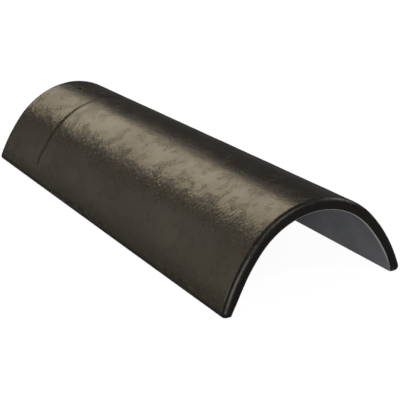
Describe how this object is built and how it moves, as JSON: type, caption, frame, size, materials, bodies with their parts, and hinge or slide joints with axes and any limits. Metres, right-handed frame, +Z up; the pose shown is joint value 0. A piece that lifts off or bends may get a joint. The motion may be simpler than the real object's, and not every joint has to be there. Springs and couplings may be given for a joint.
{
  "type": "ridge tile",
  "caption": "Half-round concrete ridge tile, tapered from a wide rounded nose to a narrow tail, with a scribed overlap mark and a nail hole in the crown.",
  "frame": {"origin": "centre of the tile's footprint, on the floor that its two feet rest on", "axes": "+Z up, +Y along the tile from the wide rounded nose to the narrow tail, +X across it"},
  "size_m": [0.2004, 0.45, 0.0959],
  "materials": {
    "coated_concrete": "cast concrete with a satin dark brown acrylic coat outside, bare grey concrete inside"
  },
  "bodies": {
    "root": {"ridge_tile": "coated_concrete"}
  },
  "joints": []
}
